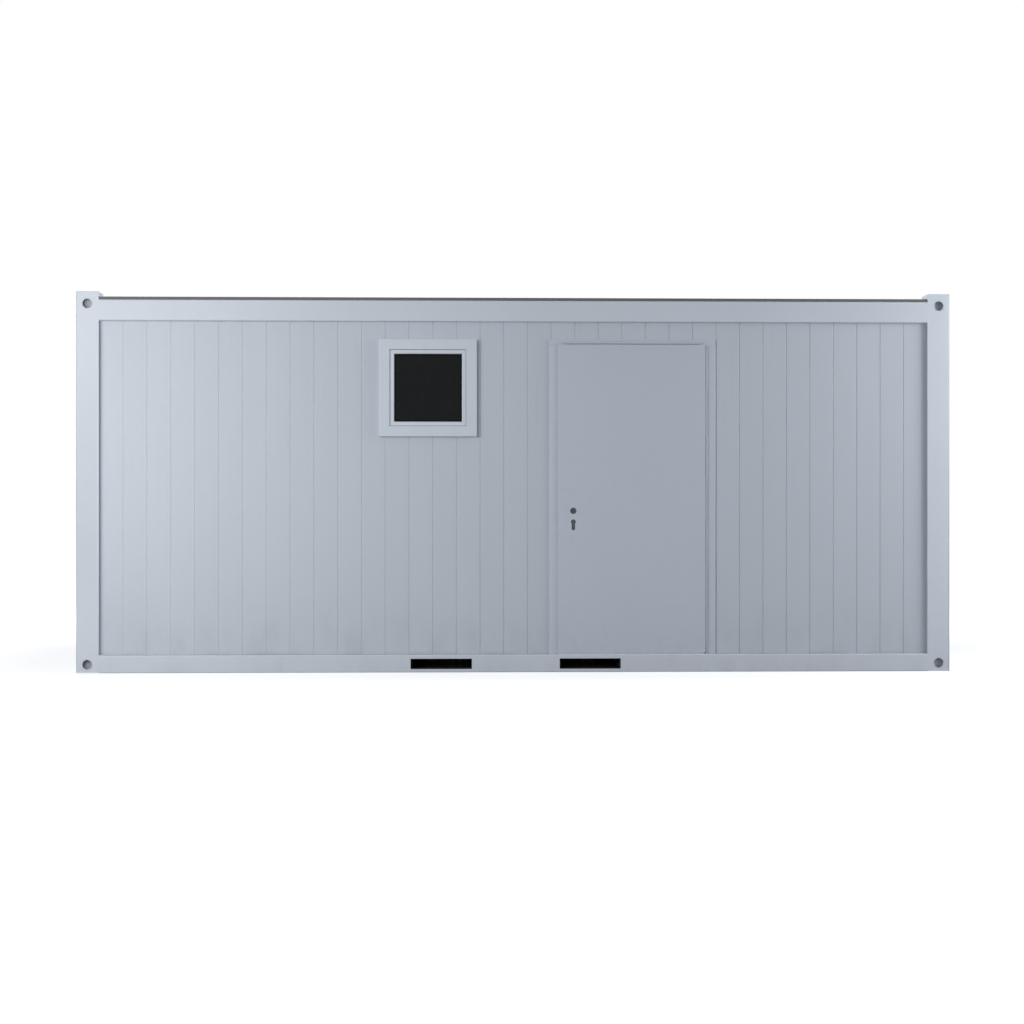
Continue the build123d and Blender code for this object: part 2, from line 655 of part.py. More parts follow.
with BuildPart() as hinge_pin:
    with Locations((HINGE_X, HINGE_Y, HINGE_BASE - PIN_OVERHANG)):
        Cylinder(
            PIN_RADIUS,
            HINGE_TOP - HINGE_BASE + 2 * PIN_OVERHANG,
            align=(Align.CENTER, Align.CENTER, Align.MIN),
        )
save(hinge_pin.part, "hinge_pin")
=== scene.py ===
# %% [markdown]
# # A toilet cabin in its steel frame
#
# The cabin's solids come packed from the drawing as a fixed frame of named nodes.
# This lesson gives them their finishes, adds the small pieces that a drawing leaves out,
# such as rubber seals and screws, and sets up a studio round the cabin.

# %% Load the frame
from math import radians
import bmesh
import bpy
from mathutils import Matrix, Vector


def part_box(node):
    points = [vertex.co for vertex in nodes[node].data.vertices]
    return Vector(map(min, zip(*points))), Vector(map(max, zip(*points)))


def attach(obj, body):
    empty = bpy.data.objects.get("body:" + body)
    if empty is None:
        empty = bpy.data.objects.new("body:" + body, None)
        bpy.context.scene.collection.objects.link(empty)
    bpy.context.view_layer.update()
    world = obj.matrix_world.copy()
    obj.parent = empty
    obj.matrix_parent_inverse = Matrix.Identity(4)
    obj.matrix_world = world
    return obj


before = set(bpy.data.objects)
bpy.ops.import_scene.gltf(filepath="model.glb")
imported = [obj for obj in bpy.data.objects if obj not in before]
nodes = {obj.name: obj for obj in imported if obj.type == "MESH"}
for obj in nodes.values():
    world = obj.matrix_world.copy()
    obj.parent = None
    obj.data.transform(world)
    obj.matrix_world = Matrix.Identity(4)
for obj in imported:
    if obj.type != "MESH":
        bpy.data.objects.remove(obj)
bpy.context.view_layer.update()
print("nodes:", len(nodes))

# %% [markdown]
# ## Camera
#
# The cabin is seen square on, from a little left of its middle and at chest height.
# A long lens far away keeps the posts upright and the rails almost level.
# The distance was chosen from how little the right end shrinks against the left one.

# %% Camera
CAMERA_PLACE = (-0.36, -13.2, 1.099)
CAMERA_TURN = -1.593
CAMERA_LENS = 61.52

bpy.ops.object.camera_add(location=CAMERA_PLACE, rotation=(radians(90), 0, radians(CAMERA_TURN)))
camera = bpy.context.object
camera.name = "front_camera"
camera.data.lens = CAMERA_LENS
camera.data.sensor_width = 36
camera.data.clip_end = 200
bpy.context.scene.camera = camera
print("camera", tuple(round(v, 3) for v in camera.location), "lens", camera.data.lens)

# %% [markdown]
# ## Shader arithmetic
#
# A finish is a small network of nodes, and most of it is arithmetic on places and masks.
# Wiring each Math node by hand hides the idea, so one class wraps a socket and lets Python's
# own operators add the nodes. Every other node comes from its one method, node().

# %% A socket that can be added and multiplied
class Wire:
    """One output socket in a finish, which takes part in sums as a number would."""

    def __init__(self, tree, socket):
        self.tree, self.socket = tree, socket

    def node(self, kind, settings=(), sockets=(), out=0):
        """Adds any node: its settings first, then the values or wires of its sockets."""
        made = self.tree.nodes.new("ShaderNode" + kind)
        for name, value in dict(settings).items():
            setattr(made, name, value)
        for name, value in dict(sockets).items():
            if isinstance(value, Wire):
                self.tree.links.new(value.socket, made.inputs[name])
            else:
                made.inputs[name].default_value = value
        return Wire(self.tree, made.outputs[out])

    def math(self, operation, first, second=0.0):
        return self.node("Math", {"operation": operation}, {0: first, 1: second})

    def __add__(self, other):
        return self.math("ADD", self, other)

    def __radd__(self, other):
        return self.math("ADD", other, self)

    def __sub__(self, other):
        return self.math("SUBTRACT", self, other)

    def __rsub__(self, other):
        return self.math("SUBTRACT", other, self)

    def __mul__(self, other):
        return self.math("MULTIPLY", self, other)

    def __rmul__(self, other):
        return self.math("MULTIPLY", other, self)

    def __truediv__(self, other):
        return self.math("DIVIDE", self, other)

    def __rtruediv__(self, other):
        return self.math("DIVIDE", other, self)

    def __abs__(self):
        return self.math("ABSOLUTE", self)

    def parts(self):
        """The X, Y and Z of a vector."""
        split = self.node("SeparateXYZ", (), {0: self}).socket.node
        return [Wire(self.tree, socket) for socket in split.outputs]

    def fade(self, start, end):
        """A smooth step from 0 at start to 1 at end."""
        smooth = {"interpolation_type": "SMOOTHSTEP"}
        return self.node("MapRange", smooth, {"Value": self, 1: start, 2: end})


print("wires add, subtract, multiply and divide")

# %% [markdown]
# ## Building blocks of a finish
#
# Every finish starts from the same three things: a Principled shader, the place of the point
# on the object, and colours written as a paint card would give them, from 0 to 255.
# Noise that is stretched along one axis makes streaks and grain, and a Bump node turns a height
# into relief that is far too fine to model.

# %% Colours, mixes, noise and relief
def card(red, green, blue):
    """A colour from its 0 to 255 values, as the linear numbers that a shader takes."""
    shares = [value / 255 for value in (red, green, blue)]
    linear = [s / 12.92 if s <= 0.04045 else ((s + 0.055) / 1.055) ** 2.4 for s in shares]
    return (*linear, 1.0)


def new_finish(name, color, roughness, metallic=0.0, specular=0.5):
    """A material with a Principled shader, and the wire of the point's place on the object."""
    material = bpy.data.materials.new(name)
    material.use_nodes = True
    material.diffuse_color = color
    shader = material.node_tree.nodes["Principled BSDF"]
    shader.inputs["Base Color"].default_value = color
    shader.inputs["Roughness"].default_value = roughness
    shader.inputs["Metallic"].default_value = metallic
    shader.inputs["Specular IOR Level"].default_value = specular
    place = Wire(material.node_tree, shader.outputs[0]).node("TexCoord", out="Object")
    return material, shader, place


def feed(shader, socket, wire):
    wire.tree.links.new(wire.socket, shader.inputs[socket])


def mixed(factor, first, second):
    """A Mix of two colours, its sockets 6 and 7, either of which may be a wire."""
    return factor.node("Mix", {"data_type": "RGBA"}, {0: factor, 6: first, 7: second}, 2)


def between(value, low, high, soft):
    """1 from low to high, fading out over soft on both sides."""
    return value.fade(low - soft, low) * (1 - value.fade(high, high + soft))


def noise(place, scale, stretch=(1, 1, 1), detail=2.0, rough=0.5):
    """Cloudy noise, about 0 to 1, finer as scale grows; stretch squeezes it along an axis."""
    squeezed = place.node("VectorMath", {"operation": "MULTIPLY"}, {0: place, 1: stretch})
    sockets = {"Vector": squeezed, "Scale": scale, "Detail": detail, "Roughness": rough}
    return place.node("TexNoise", (), sockets)


def relief(shader, height, depth):
    """Raises the surface by height times depth, in metres."""
    bump = height.node("Bump", (), {"Strength": 1.0, "Distance": depth, "Height": height})
    feed(shader, "Normal", bump)


def tinted(color, factor):
    """The same colour, darker or paler by a factor."""
    return tuple(value * factor for value in color[:3]) + (1.0,)


print("a middle grey from the card:", tuple(round(v, 3) for v in card(128, 128, 128)))

# %% [markdown]
# ## Frame paint
#
# Posts, rails and corner fittings are welded steel in one coat of pale blue-grey paint. Sprayed
# paint has a fine orange-peel skin, and its tone drifts a little along a rail. Use leaves marks on
# it: dust on the foot and rims of holes scraped by lifting hooks. Painted shade darkens the ledge
# of the bottom rail, and painted light makes the lowest edge paler. Such marks could be painted by
# hand, but a mask made from the point's place, such as its height or its distance from a hole,
# serves every corner at once.

# %% Places on the frame
FRAME_GREY = card(199, 205, 215)
hole_low, hole_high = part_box("bottom_corner_fitting_front_left")
HOLE_X = abs((hole_low.x + hole_high.x) / 2)
HOLE_Y = abs((hole_low.y + hole_high.y) / 2)
END_X, FRONT_Y = abs(hole_low.x), abs(hole_low.y)
RAIL_END, RAIL_TOP = abs(hole_high.x), hole_high.z
BASE_HOLE, TOP_HOLE = 0.058, 2.521
HOLE_RIM, RUB_WIDTH = 0.033, 0.014
FITTING_SKIN, FITTING_LID = 0.03, 2.58
DOORWAY_LEFT, DOORWAY_RIGHT = 0.3, 1.31


def near_holes(x, y, z):
    """1 beside the rim of a corner hole, on any of the four sides, fading out over 14 mm."""
    upper = z.fade(1.2, 1.4)
    height = z - BASE_HOLE - upper * (TOP_HOLE - BASE_HOLE)
    on_front = abs(y).fade(FRONT_Y - 0.01, FRONT_Y - 0.005)
    across = on_front * (abs(x) - HOLE_X) + (1 - on_front) * (abs(y) - HOLE_Y)
    square = across * across + height * height
    return 1 - square.math("SQRT", square).fade(HOLE_RIM, HOLE_RIM + RUB_WIDTH)


def inside_fitting(x, y, z):
    """1 on the inner faces of a corner fitting, which show through its front hole."""
    edge = 0.004
    behind = 1 - abs(y).fade(FRONT_Y - FITTING_SKIN - edge, FRONT_Y - FITTING_SKIN + edge)
    past_rail = abs(x).fade(RAIL_END + 0.003, RAIL_END + 0.007)
    under_lid = 1 - z.fade(FITTING_LID, FITTING_LID + 0.01)
    off_end = 1 - abs(x).fade(END_X - FITTING_SKIN - edge, END_X - FITTING_SKIN + edge)
    return behind * past_rail * under_lid * off_end


print("rails end at X", round(RAIL_END, 4), "and are", round(RAIL_TOP, 4), "high")
print("holes at X", round(HOLE_X, 4), "and Y", round(HOLE_Y, 4))

# %% [markdown]
# ## Marks of use and painted light and shade on the frame
#
# The marks go over the clean paint one by one, as a mixed colour each. Some are wear, and some are
# painted light and shade: the ledge of the bottom rail is painted darker, less in the doorway, and
# the lowest edge paler; the rounded corners at the ends are painted darker, most at the right end;
# and in the corner fittings the left holes are painted dark, while the right ones run from a
# painted highlight to painted shade. On the left the posts are a little greyer. Each mark is only a
# factor and a colour, so a learner can take one out and see what it did.

# %% Frame paint
def worn_and_shaded_frame(tone, x, y, z):
    """The frame's paint with the wear and the painted light and shade that depend on the place
    alone.
    """
    on_right = x.fade(-0.5, 0.5)
    doorway = between(x, DOORWAY_LEFT, DOORWAY_RIGHT, 0.02) * (1 - y.fade(-0.1, 0.1))
    # The ledge of the bottom rail is painted darker as painted shade, less in the doorway.
    ledge_shade = between(z, RAIL_TOP - 0.0005, RAIL_TOP + 0.0005, 0.002)
    ledge_shade = ledge_shade * (1 - abs(x).fade(RAIL_END - 0.01, RAIL_END))
    # The lowest edge of the frame is painted paler, as painted light.
    lit_lower_edge = 1 - z.fade(0.002, 0.012)
    # The rounded corners at the ends are painted darker, as painted shade, most at the right end.
    bend = abs(x).fade(END_X - 0.013, END_X - 0.007) * abs(y).fade(FRONT_Y - 0.013, FRONT_Y - 0.007)
    # The left post is painted a little greyer.
    greyer_left_post = 1 - (x + RAIL_END).fade(-0.015, -0.005)
    greyer_left_post = greyer_left_post * z.fade(0.12, 0.9) * (1 - z.fade(1.5, 2.4))
    # Inside the corner fittings: painted shade on the left end, and on the right end a painted
    # highlight that turns to painted shade.
    socket = inside_fitting(x, y, z)
    outer = abs(x).fade(HOLE_X - 0.0275, HOLE_X + 0.0125)
    right_socket_light_and_shade = mixed(outer, card(240, 243, 246), card(178, 183, 190))
    tone = mixed(ledge_shade * (0.75 - doorway * 0.65), tone, card(118, 118, 116))
    tone = mixed(lit_lower_edge * 0.8, tone, card(226, 231, 238))
    tone = mixed(bend * (0.15 + on_right * 0.5) + greyer_left_post * 0.16, tone, card(96, 99, 104))
    tone = mixed(socket * (1 - on_right) * 0.55, tone, card(98, 102, 106))
    return mixed(socket * on_right, tone, right_socket_light_and_shade)


def frame_finish():
    material, shader, place = new_finish("frame_paint", FRAME_GREY, 0.46)
    x, y, z = place.parts()
    drift = noise(place, 0.9, detail=3.0)
    mottle = noise(place, 26, detail=3.0, rough=0.6)
    dust = (1 - z.fade(0.0, 0.16)) * noise(place, 7, (1, 1, 0.4), 4.0).fade(0.35, 0.75)
    rubbed = near_holes(x, y, z) * noise(place, 90, detail=3.0).fade(0.45, 0.62)
    tone = mixed(drift.fade(0.3, 0.7), tinted(FRAME_GREY, 0.975), tinted(FRAME_GREY, 1.02))
    tone = mixed(mottle.fade(0.35, 0.75) * 0.5, tone, tinted(FRAME_GREY, 0.97))
    tone = mixed(dust * 0.14, tone, card(148, 146, 140))
    tone = mixed(rubbed * 0.45, worn_and_shaded_frame(tone, x, y, z), card(128, 131, 134))
    feed(shader, "Base Color", tone)
    feed(shader, "Roughness", 0.4 + mottle * 0.1 + dust * 0.25)
    weld = 1 - abs(abs(x) - RAIL_END).fade(0.001, 0.006)
    beads = weld * noise(place, 160, detail=1.0) * 2.0
    relief(shader, noise(place, 700, detail=1.0) + beads, 0.00022)
    return material


frame_paint = frame_finish()
print("frame paint with", len(frame_paint.node_tree.nodes), "nodes")

# %% [markdown]
# ## Painted shadow on the front wall
#
# Shadow is painted into the wall's colour in the angles beside the posts and along the right side
# of the window. It could be painted on a picture, but each patch is simple enough to be a product
# of fades, one for every side at which it ends. All of it lies on the front skin alone.

# %% Painted shadow on the front wall
window_low, window_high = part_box("window_frame")


def painted_wall_shadow(x, y, z):
    """How much painted shadow is on the front skin, beside both posts and right of the window."""
    by_left_post = 1 - (x + RAIL_END).fade(0.005, 0.016)
    by_right_post = x.fade(RAIL_END - 0.035, RAIL_END - 0.005) * (0.26 - z.fade(0.3, 2.3) * 0.16)
    edge = window_high.x
    by_window = x.fade(edge - 0.001, edge) * (1 - x.fade(edge + 0.004, edge + 0.04))
    by_window = by_window * z.fade(window_low.z - 0.012, window_low.z)
    by_window = by_window * (1 - z.fade(window_high.z - 0.03, window_high.z))
    front_skin = 1 - y.fade(-1.15, -1.1)
    return (by_left_post * 0.4 + by_window * 0.5 + by_right_post) * front_skin


# The painted shadow beside the window spans these heights.
print("grime beside the window from Z", round(window_low.z, 3), "to", round(window_high.z, 3))

# %% [markdown]
# ## Wall boards
#
# The walls are insulated panels with a coated steel skin, grooved upright into narrow boards.
# Each board takes a slightly different tone, the grooves are painted pale towards the left end and
# dark towards the right as painted light and shade, and thin steel is never quite flat, so light
# runs down it in soft waves. Just above the bottom rail the wall is darker, with dust and painted
# shade.
# The inside skin is white. The board that a point is on is its distance along the wall divided by
# the pitch; the same sum rolled to 0..1 finds the groove.

# %% Wall boards
WALL_GREY = card(188, 194, 204)
LINING_WHITE = card(226, 228, 228)
FRONT_RUN, END_RUN = 2 * RAIL_END, 2 * abs(hole_high.y)
FRONT_BOARDS, END_BOARDS = 35, 13
BOARD_FRONT, BOARD_END = FRONT_RUN / FRONT_BOARDS, END_RUN / END_BOARDS
LINING_X, LINING_Y = 2.93, 1.13


def wall_finish(name, along_x, run, pitch):
    material, shader, place = new_finish(name, WALL_GREY, 0.48)
    x, y, z = place.parts()
    boards = ((x if along_x else y) + run / 2) / pitch
    number = boards.math("FLOOR", boards)
    shade = place.node("TexWhiteNoise", {"noise_dimensions": "1D"}, {"W": number})
    roll = boards.math("FRACT", boards)
    gap = roll - roll.math("ROUND", roll)
    groove = 1 - (abs(gap) * pitch).fade(0.001, 0.005)
    inside = 1 - abs(x).fade(LINING_X - 0.005, LINING_X + 0.005)
    inside = inside * (1 - abs(y).fade(LINING_Y - 0.005, LINING_Y + 0.005))
    waves = noise(place, 2.2, (1, 1, 0.35), 2.0)
    streaks = noise(place, 24, (1, 1, 0.05), 3.0).fade(0.5, 0.85) * z.fade(0.6, 2.4)
    dust = (1 - z.fade(0.12, 0.6)) * noise(place, 9, (1, 1, 0.5), 4.0).fade(0.35, 0.8)
    # Dust and painted shade in the angle just above the bottom rail.
    foot = (1 - z.fade(RAIL_TOP, 0.15)) * noise(place, 5, (1, 1, 0.2), 3.0).fade(0.3, 0.7)
    # The grooves are painted pale towards the left and dark towards the right, as painted light and
    # shade.
    groove_light_and_shade = mixed(x.fade(-3.0, 1.6), card(199, 205, 215), card(98, 103, 111))
    tone = mixed(shade, tinted(WALL_GREY, 0.985), tinted(WALL_GREY, 1.012))
    tone = mixed(waves.fade(0.3, 0.7) * 0.6, tone, tinted(WALL_GREY, 0.972))
    tone = mixed(streaks * 0.14, tone, card(160, 164, 168))
    tone = mixed(dust * 0.16, tone, card(150, 149, 144))
    # Painted shadow beside both posts and right of the window.
    tone = mixed(painted_wall_shadow(x, y, z), tone, card(112, 113, 114))
    tone = mixed(foot * 0.28, tone, card(120, 120, 117))
    tone = mixed(groove * 0.35, tone, groove_light_and_shade)
    feed(shader, "Base Color", mixed(inside, tone, LINING_WHITE))
    feed(shader, "Roughness", 0.4 + noise(place, 18, detail=3.0) * 0.12 + dust * 0.2)
    relief(shader, waves * 3.0 + noise(place, 900, detail=1.0) * 0.12, 0.0012)
    return material


wall_paint = wall_finish("wall_paint", True, FRONT_RUN, BOARD_FRONT)
end_wall_paint = wall_finish("end_wall_paint", False, END_RUN, BOARD_END)
print("boards in front every", round(BOARD_FRONT * 1000, 1), "mm")
print("boards at the ends every", round(BOARD_END * 1000, 1), "mm")

# %% [markdown]
# ## Door paint
#
# The leaf and its frame are folded sheet in the same colour, sprayed and stoved, so they are
# smoother than the boards. A wide flat leaf bows a little, and hands and boots mark it round
# the lock and along its foot. The left jamb takes a paler copy of the paint as painted light, and
# the hinge a darker copy as painted shade.

# %% Door paint
DOOR_GREY = card(185, 193, 204)
lock_low, lock_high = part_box("door_lock")
LOCK_BACKSET, HAND_HEIGHT = 0.092, 1.06
LOCK_X = lock_low.x + LOCK_BACKSET


def door_finish(name, color):
    material, shader, place = new_finish(name, color, 0.44)
    x, _, z = place.parts()
    bow = noise(place, 1.1, (1, 1, 0.6), 1.0)
    mottle = noise(place, 30, detail=3.0, rough=0.6)
    aside, above = x - LOCK_X, z - HAND_HEIGHT
    reach = aside * aside * 9 + above * above * 4
    hands = (1 - reach.fade(0.02, 0.35)) * noise(place, 14, detail=4.0).fade(0.45, 0.8)
    boots = (1 - z.fade(0.14, 0.42)) * noise(place, 12, (1, 1, 0.3), 4.0).fade(0.5, 0.8)
    tone = mixed(bow.fade(0.3, 0.7), tinted(color, 0.982), tinted(color, 1.015))
    tone = mixed(mottle.fade(0.35, 0.75) * 0.4, tone, tinted(color, 0.975))
    tone = mixed(hands * 0.12 + boots * 0.16, tone, card(148, 149, 148))
    feed(shader, "Base Color", tone)
    feed(shader, "Roughness", 0.38 + mottle * 0.1 - hands * 0.06)
    relief(shader, bow * 4.0 + noise(place, 800, detail=1.0) * 0.15, 0.0012)
    return material


door_paint = door_finish("door_paint", DOOR_GREY)
# A paler copy of the door paint, as painted light on the left jamb.
lit_jamb_paint = door_finish("lit_jamb_paint", tinted(DOOR_GREY, 1.06))
# A darker copy of the door paint, as painted shade along the hinge side.
shaded_hinge_paint = door_finish("shaded_hinge_paint", tinted(DOOR_GREY, 0.81))
print("lock holes at X", round(LOCK_X, 4))

# %% [markdown]
# ## Window plastic and glass
#
# The window is a moulded hollow profile, mitred and welded at its corners, so a hair line runs
# across each corner. The room behind the pane is unlit, so the glass is close to black, with a
# thin film of dust. Clear glass before a dark room would look much the same and render slower.

# %% Window plastic and glass
PLASTIC_GREY = card(201, 208, 217)
WINDOW = (window_low + window_high) / 2


def plastic_finish(name, color):
    material, shader, place = new_finish(name, color, 0.36)
    x, _, z = place.parts()
    mitre = 1 - abs(abs(x - WINDOW.x) - abs(z - WINDOW.z)).fade(0.0003, 0.0011)
    film = noise(place, 11, (1, 1, 0.5), 4.0)
    tone = mixed(film.fade(0.35, 0.75), tinted(color, 1.01), tinted(color, 0.975))
    feed(shader, "Base Color", mixed(mitre * 0.2, tone, card(150, 156, 164)))
    feed(shader, "Roughness", 0.3 + film * 0.14)
    relief(shader, noise(place, 1200, detail=1.0) * 0.2 - mitre, 0.0003)
    return material


def glass_finish():
    material, shader, place = new_finish("window_glass", card(16, 19, 21), 0.06, specular=0.12)
    film = noise(place, 16, (1, 1, 0.6), 5.0).fade(0.4, 0.8)
    feed(shader, "Base Color", mixed(film * 0.4, card(15, 18, 19), card(23, 27, 29)))
    feed(shader, "Roughness", 0.05 + film * 0.12)
    return material


window_plastic = plastic_finish("window_plastic", PLASTIC_GREY)
sash_plastic = plastic_finish("sash_plastic", tinted(PLASTIC_GREY, 1.06))
window_glass = glass_finish()
print("window middle at", tuple(round(v, 3) for v in WINDOW))

# %% [markdown]
# ## Rubber
#
# Rubber is dull and chalky: black round the pane and in the door, grey at the roof's edge and round
# the sash, pale at the door's foot. One function serves them all, because only the colour differs.

# %% Rubber
def rubber_finish(name, color):
    material, shader, place = new_finish(name, color, 0.7, specular=0.08)
    chalk = noise(place, 60, detail=4.0).fade(0.45, 0.8)
    feed(shader, "Base Color", mixed(chalk * 0.5, color, tinted(color, 1.6)))
    feed(shader, "Roughness", 0.62 + chalk * 0.2)
    relief(shader, noise(place, 500, detail=2.0), 0.0002)
    return material


grey_rubber = rubber_finish("grey_rubber", card(134, 139, 144))
black_rubber = rubber_finish("black_rubber", card(5, 5, 6))
seal_rubber = rubber_finish("seal_rubber", card(108, 110, 109))
pale_rubber = rubber_finish("pale_rubber", card(194, 201, 211))
print("rubbers:", [made.name for made in (grey_rubber, black_rubber, seal_rubber, pale_rubber)])

# %% [markdown]
# ## Zinc-coated steel
#
# Hot-dip zinc freezes into flat crystals that catch the light differently, so the roof, the
# joists, the lock and the screws get a cell pattern in tone and roughness. A Voronoi texture gives
# every crystal one flat value, and a little noise bends the borders between them.

# %% Zinc-coated steel
ROOF_CRYSTALS, SMALL_CRYSTALS = 60, 220


def zinc_finish(name, color, roughness, cells):
    material, shader, place = new_finish(name, color, roughness, metallic=0.85)
    bends = {"Vector": place, "Scale": cells * 0.7}
    bent = place.node("TexNoise", {"noise_dimensions": "3D"}, bends, 1)
    warped = place.node("Mix", {"data_type": "RGBA"}, {0: 0.06, 6: place, 7: bent}, 2)
    crystal = place.node("TexVoronoi", {"feature": "F1"}, {"Vector": warped, "Scale": cells}, 1)
    grey = crystal.parts()[0]
    stain = noise(place, 2.4, detail=4.0).fade(0.45, 0.8)
    tone = mixed(grey, tinted(color, 0.8), tinted(color, 1.15))
    feed(shader, "Base Color", mixed(stain * 0.35, tone, tinted(color, 0.72)))
    feed(shader, "Roughness", roughness - 0.08 + grey * 0.16 + stain * 0.12)
    relief(shader, grey + noise(place, 300, detail=2.0) * 0.4, 0.0001)
    return material


galvanised = zinc_finish("galvanised_steel", card(172, 176, 180), 0.58, ROOF_CRYSTALS)
hinge_zinc = zinc_finish("hinge_steel", card(180, 184, 190), 0.36, SMALL_CRYSTALS)
# The lock case is painted dark, as painted shade inside the lock's holes.
shaded_lock_steel = zinc_finish("shaded_lock_steel", card(82, 85, 92), 0.5, SMALL_CRYSTALS)
print("zinc crystals about", round(1000 / ROOF_CRYSTALS, 1), "mm on the roof")

# %% [markdown]
# ## Sill and fork pockets
#
# The sill is drawn aluminium, gone matt, whose fine lines run along its length. The fork pockets
# are painted dark inside as painted shade, scraped by the forks along their depth, and only their
# mouths are painted like the frame. Lines and scrapes are both noise that is stretched along one
# axis.

# %% Sill and fork pockets
MOUTH_DEPTH = 0.01


def sill_finish():
    material, shader, place = new_finish("sill_aluminium", card(214, 216, 218), 0.42, metallic=0.35)
    lines = noise(place, 700, (0.02, 1, 1), 2.0)
    worn = noise(place, 9, detail=4.0).fade(0.45, 0.75)
    feed(shader, "Base Color", mixed(worn * 0.3, card(216, 218, 220), card(176, 177, 176)))
    feed(shader, "Roughness", 0.3 + lines * 0.12 + worn * 0.16)
    relief(shader, lines, 0.0001)
    return material


def pocket_finish():
    # The pocket's inside is painted dark as painted shade.
    material, shader, place = new_finish("pocket_steel", card(46, 48, 52), 0.6)
    _, y, _ = place.parts()
    scraped = noise(place, 30, (1, 0.06, 1), 4.0).fade(0.55, 0.75)
    mouth = abs(y).fade(FRONT_Y - MOUTH_DEPTH, FRONT_Y - 0.002)
    tone = mixed(scraped * 0.5, card(44, 46, 50), card(78, 74, 70))
    feed(shader, "Base Color", mixed(mouth, tone, FRAME_GREY))
    feed(shader, "Roughness", 0.65 - scraped * 0.2)
    relief(shader, scraped + noise(place, 400, detail=2.0) * 0.5, 0.0003)
    return material


sill_aluminium = sill_finish()
pocket_steel = pocket_finish()
print("pocket mouths painted", round(MOUTH_DEPTH * 1000), "mm deep")

# %% [markdown]
# ## Deck and floor covering
#
# Under the cabin the deck is a flake board, and inside it is covered with speckled sheet vinyl.
# Flakes and speckles are cells of a Voronoi texture again, long ones for the board and tiny ones
# for the vinyl. Neither shows in the photo, so both are what such cabins usually have.

# %% Deck and floor covering
def board_finish():
    material, shader, place = new_finish("floor_board", card(142, 108, 70), 0.75)
    squeezed = place.node("VectorMath", {"operation": "MULTIPLY"}, {0: place, 1: (1, 0.35, 1)})
    cells = place.node("TexVoronoi", {"feature": "F1"}, {"Vector": squeezed, "Scale": 42.0}, 1)
    flakes = cells.parts()[0]
    grain = noise(place, 120, (0.2, 1, 1), 4.0)
    tone = mixed(flakes, card(112, 82, 52), card(164, 128, 84))
    feed(shader, "Base Color", mixed(grain * 0.3, tone, card(92, 66, 42)))
    feed(shader, "Roughness", 0.66 + grain * 0.2)
    relief(shader, flakes + grain * 0.4, 0.0006)
    return material


def vinyl_finish():
    material, shader, place = new_finish("floor_vinyl", card(112, 117, 122), 0.5)
    cells = place.node("TexVoronoi", {"feature": "F1"}, {"Vector": place, "Scale": 240.0}, 1)
    fleck = cells.parts()[1]
    scuff = noise(place, 6, detail=5.0).fade(0.5, 0.8)
    tone = mixed(fleck.fade(0.75, 0.85), card(108, 114, 120), card(156, 160, 164))
    tone = mixed((1 - fleck).fade(0.8, 0.9), tone, card(70, 75, 82))
    feed(shader, "Base Color", mixed(scuff * 0.25, tone, card(92, 93, 92)))
    feed(shader, "Roughness", 0.42 + scuff * 0.2)
    relief(shader, noise(place, 420, detail=2.0), 0.0002)
    return material


floor_board = board_finish()
floor_vinyl = vinyl_finish()
print("floor finishes:", floor_board.name, "and", floor_vinyl.name)

# %% [markdown]
# ## Ceiling
#
# The ceiling is a white lining in wide strips with a fine joint between them. The distance along
# the cabin, divided by the width of a strip and rolled to 0..1, finds the joints, as the same sum
# found the grooves of the walls.

# %% Ceiling
CEILING_STRIP = 0.2


def ceiling_finish():
    material, shader, place = new_finish("ceiling_white", LINING_WHITE, 0.5)
    x, _, _ = place.parts()
    strips = x / CEILING_STRIP
    roll = strips.math("FRACT", strips)
    joint = 1 - abs(roll - 0.5).fade(0.0, 0.02)
    cloud = noise(place, 3, detail=3.0)
    tone = mixed(cloud.fade(0.3, 0.7), tinted(LINING_WHITE, 0.98), tinted(LINING_WHITE, 1.01))
    feed(shader, "Base Color", mixed(joint * 0.5, tone, card(176, 178, 178)))
    feed(shader, "Roughness", 0.44 + cloud * 0.1)
    relief(shader, 0.0 - joint, 0.001)
    return material


ceiling_white = ceiling_finish()
print("ceiling strips", CEILING_STRIP, "m wide")

# %% [markdown]
# ## Each node gets its finish
#
# A node keeps the shape that the drawing gave it and only changes its material. The table below
# goes by the first words of a node's name, because the four corners and four sides share finishes.

# %% Assign the finishes
FINISHES = {
    "corner_post": frame_paint, "bottom_corner_fitting": frame_paint,
    "top_corner_fitting": frame_paint,
    "front_bottom": frame_paint, "front_top": frame_paint, "back_bottom": frame_paint,
    "back_top": frame_paint, "left_bottom": frame_paint, "left_top": frame_paint,
    "right_bottom": frame_paint, "right_top": frame_paint,
    "front_wall": wall_paint, "back_wall": wall_paint, "left_wall": end_wall_paint,
    "right_wall": end_wall_paint, "left_fork": pocket_steel, "right_fork": pocket_steel,
    "floor_joists": galvanised, "floor_deck": floor_board, "floor_covering": floor_vinyl,
    "ceiling": ceiling_white, "roof_sheet": galvanised, "roof_edge_seal": seal_rubber,
    "window_frame": window_plastic, "window_sash": sash_plastic, "window_pane": window_glass,
    "door_left": lit_jamb_paint, "door_right": door_paint, "door_head": door_paint,
    "door_leaf": door_paint, "drip_strip": door_paint, "door_sill": sill_aluminium,
    "door_lock": shaded_lock_steel, "hinge": shaded_hinge_paint,
}
for name, node in nodes.items():
    finish = next(made for start, made in FINISHES.items() if name.startswith(start))
    node.data.materials.clear()
    node.data.materials.append(finish)
print("finishes given to", len(nodes), "nodes")

# %% [markdown]
# ## Working by hand in code
#
# The small pieces below start from a primitive and are shaped in edit mode, as by hand. A person
# clicks on faces and edges; here a test on an element's middle picks them instead. Everything is
# deselected before each start, because an operator acts on all that is selected. At the end a piece
# gets its finish and the body that it moves with.

# %% Start, pick and settle
SMOOTH_ANGLE = 35


